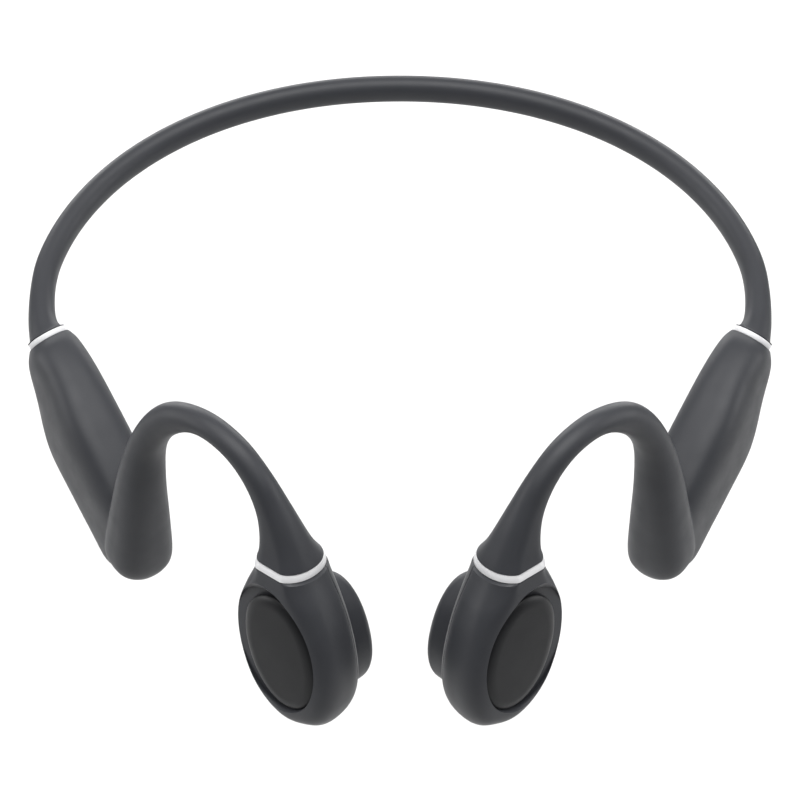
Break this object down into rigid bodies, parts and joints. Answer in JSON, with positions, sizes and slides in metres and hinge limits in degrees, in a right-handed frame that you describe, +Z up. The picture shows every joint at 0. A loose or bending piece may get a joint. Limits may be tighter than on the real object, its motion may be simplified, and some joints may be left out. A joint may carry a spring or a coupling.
{
  "type": "bone conduction headphones",
  "caption": "Open-ear headphones on a sprung neckband: slim housings run into ear hooks that carry oval transducers with contact pads for the cheekbones and oval control caps.",
  "frame": {"origin": "centre of the bounding box's bottom face, on the surface that the bends of the hooks and the transducers stand on", "axes": "+X to the wearer's left, -Y to the wearer's front, +Z up"},
  "size_m": [0.149, 0.146, 0.0557],
  "materials": {
    "silicone": "soft-touch silicone, dark graphite grey, satin",
    "shell": "fine satin plastic, dark graphite grey",
    "cap": "darker satin plastic",
    "accent": "pale grey gloss",
    "titanium": "bare titanium spring wire",
    "insulation": "black wire insulation",
    "steel": "plated steel",
    "magnet": "nickel-plated magnet",
    "copper": "enamelled copper winding",
    "gold": "gold-plated contact",
    "board": "green circuit board",
    "foil": "foil or tinned cover",
    "ceramic": "pale ceramic",
    "tray": "black moulded plastic",
    "lens": "milky light pipe"
  },
  "bodies": {
    "right_frame": {"right_neckband_sleeve": "silicone", "right_neckband_wire": "titanium", "right_neckband_lead": "insulation", "right_rear_ring": "accent", "right_earhook_skin": "silicone", "right_housing_tray": "tray", "right_housing_cover": "shell", "right_hook_wire": "titanium", "right_hook_lead": "insulation", "right_front_ring": "accent", "right_transducer_shell": "shell", "right_transducer_cover": "shell", "right_yoke": "steel", "right_magnet": "magnet", "right_suspension_spring": "steel", "right_control_switch": "tray", "main_board": "board", "chip_shield": "foil", "antenna": "ceramic", "microphone": "foil", "status_light": "lens", "volume_up_switch": "tray", "volume_down_switch": "tray", "charge_port_seat": "tray", "charge_pin_rear": "gold", "charge_pin_front": "gold"},
    "left_frame": {"left_neckband_sleeve": "silicone", "left_neckband_wire": "titanium", "left_neckband_lead": "insulation", "left_rear_ring": "accent", "left_earhook_skin": "silicone", "left_housing_tray": "tray", "left_housing_cover": "shell", "left_hook_wire": "titanium", "left_hook_lead": "insulation", "left_front_ring": "accent", "left_transducer_shell": "shell", "left_transducer_cover": "shell", "left_yoke": "steel", "left_magnet": "magnet", "left_suspension_spring": "steel", "left_control_switch": "tray", "battery": "foil", "battery_protection_board": "board"},
    "left_pad": {"left_contact_pad": "silicone", "left_voice_coil": "copper"},
    "right_pad": {"right_contact_pad": "silicone", "right_voice_coil": "copper"},
    "left_control": {"left_control_cap": "cap"},
    "right_control": {"right_control_cap": "cap"},
    "volume_up": {"volume_up_button": "silicone"},
    "volume_down": {"volume_down_button": "silicone"}
  },
  "joints": [
    {"name": "neckband_flex", "type": "hinge", "parent": "right_frame", "child": "left_frame", "pos_m": [0, 0.07299, 0.04571], "axis": [0, -0.1788, 0.9839], "range_deg": [-2, 52], "stiffness_Nm_per_rad": 0.24},
    {"name": "left_control_press", "type": "slide", "parent": "left_frame", "child": "left_control", "axis": [-0.633, 0.7544, -0.1736], "range_m": [0, 0.0003], "stiffness_N_per_m": 900},
    {"name": "right_control_press", "type": "slide", "parent": "right_frame", "child": "right_control", "axis": [0.633, 0.7544, -0.1736], "range_m": [0, 0.0003], "stiffness_N_per_m": 900},
    {"name": "left_pad_vibration", "type": "slide", "parent": "left_frame", "child": "left_pad", "axis": [0.633, -0.7544, 0.1736], "range_m": [-0.00015, 0.00015], "stiffness_N_per_m": 3000},
    {"name": "right_pad_vibration", "type": "slide", "parent": "right_frame", "child": "right_pad", "axis": [-0.633, -0.7544, 0.1736], "range_m": [-0.00015, 0.00015], "stiffness_N_per_m": 3000},
    {"name": "volume_up_press", "type": "slide", "parent": "right_frame", "child": "volume_up", "axis": [0.3371, -0.4815, 0.809], "range_m": [0, 0.0004], "stiffness_N_per_m": 900},
    {"name": "volume_down_press", "type": "slide", "parent": "right_frame", "child": "volume_down", "axis": [0.3371, -0.4815, 0.809], "range_m": [0, 0.0004], "stiffness_N_per_m": 900}
  ]
}
